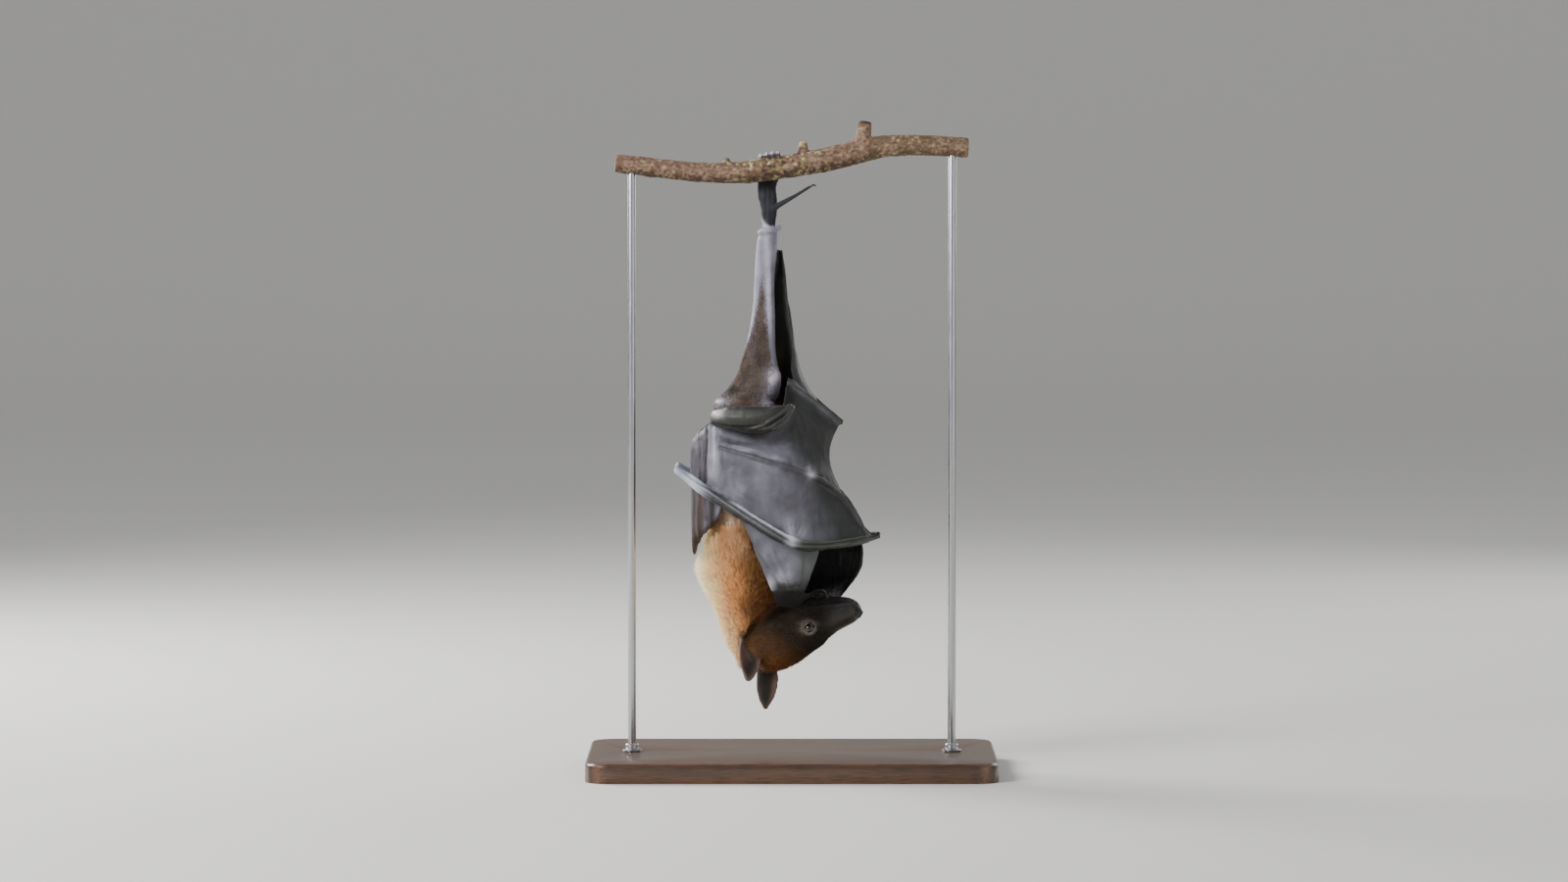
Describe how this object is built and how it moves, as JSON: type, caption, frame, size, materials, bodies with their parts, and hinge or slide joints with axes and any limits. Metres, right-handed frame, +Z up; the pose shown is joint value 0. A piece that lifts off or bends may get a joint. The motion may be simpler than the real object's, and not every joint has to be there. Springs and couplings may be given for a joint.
{
  "type": "fruit bat model",
  "caption": "Life-size still model of a roosting fruit bat, wings wrapped, hanging by one foot from a cut branch held on a flat display stand.",
  "frame": {"origin": "middle of the underside of the stand's base", "axes": "+Z up, +X the way the bat's belly and muzzle face, -Y the side of its left wing"},
  "size_m": [0.25, 0.16, 0.3987],
  "materials": {
    "stained_wood": "dark stained wood under satin lacquer",
    "satin_steel": "brushed",
    "bark": "dry weathered bark with patches of lichen",
    "golden_fur": "long soft fur, golden brown",
    "dark_fur": "short dense fur, dark brown",
    "grey_fur": "short grey-brown fur",
    "wing_skin": "thin bare skin with a dull satin sheen",
    "ear_skin": "thin bare skin, matt",
    "foot_skin": "bare wrinkled skin with horn claws",
    "eye": "wet gloss"
  },
  "bodies": {
    "root": {"stand_base": "stained_wood", "stand_rod_left": "satin_steel", "stand_rod_right": "satin_steel", "perch_branch": "bark", "foot_right": "foot_skin", "foot_left": "foot_skin", "leg_left": "wing_skin", "leg_right": "grey_fur", "trunk": "grey_fur", "neck": "golden_fur", "head": "dark_fur", "ear_left": "ear_skin", "ear_right": "ear_skin", "eye_left": "eye", "eye_right": "eye", "wing_left_skin": "wing_skin", "wing_left_upper_arm": "wing_skin", "wing_left_forearm": "wing_skin", "wing_left_wrist": "wing_skin", "wing_left_finger_3": "wing_skin", "wing_left_finger_4": "wing_skin", "wing_left_finger_5": "wing_skin", "wing_right_skin": "wing_skin", "wing_right_upper_arm": "wing_skin", "wing_right_forearm": "wing_skin", "wing_right_wrist": "wing_skin", "wing_right_finger_3": "wing_skin", "wing_right_finger_4": "wing_skin", "wing_right_finger_5": "wing_skin", "wing_right_leg_web": "wing_skin"}
  },
  "joints": []
}
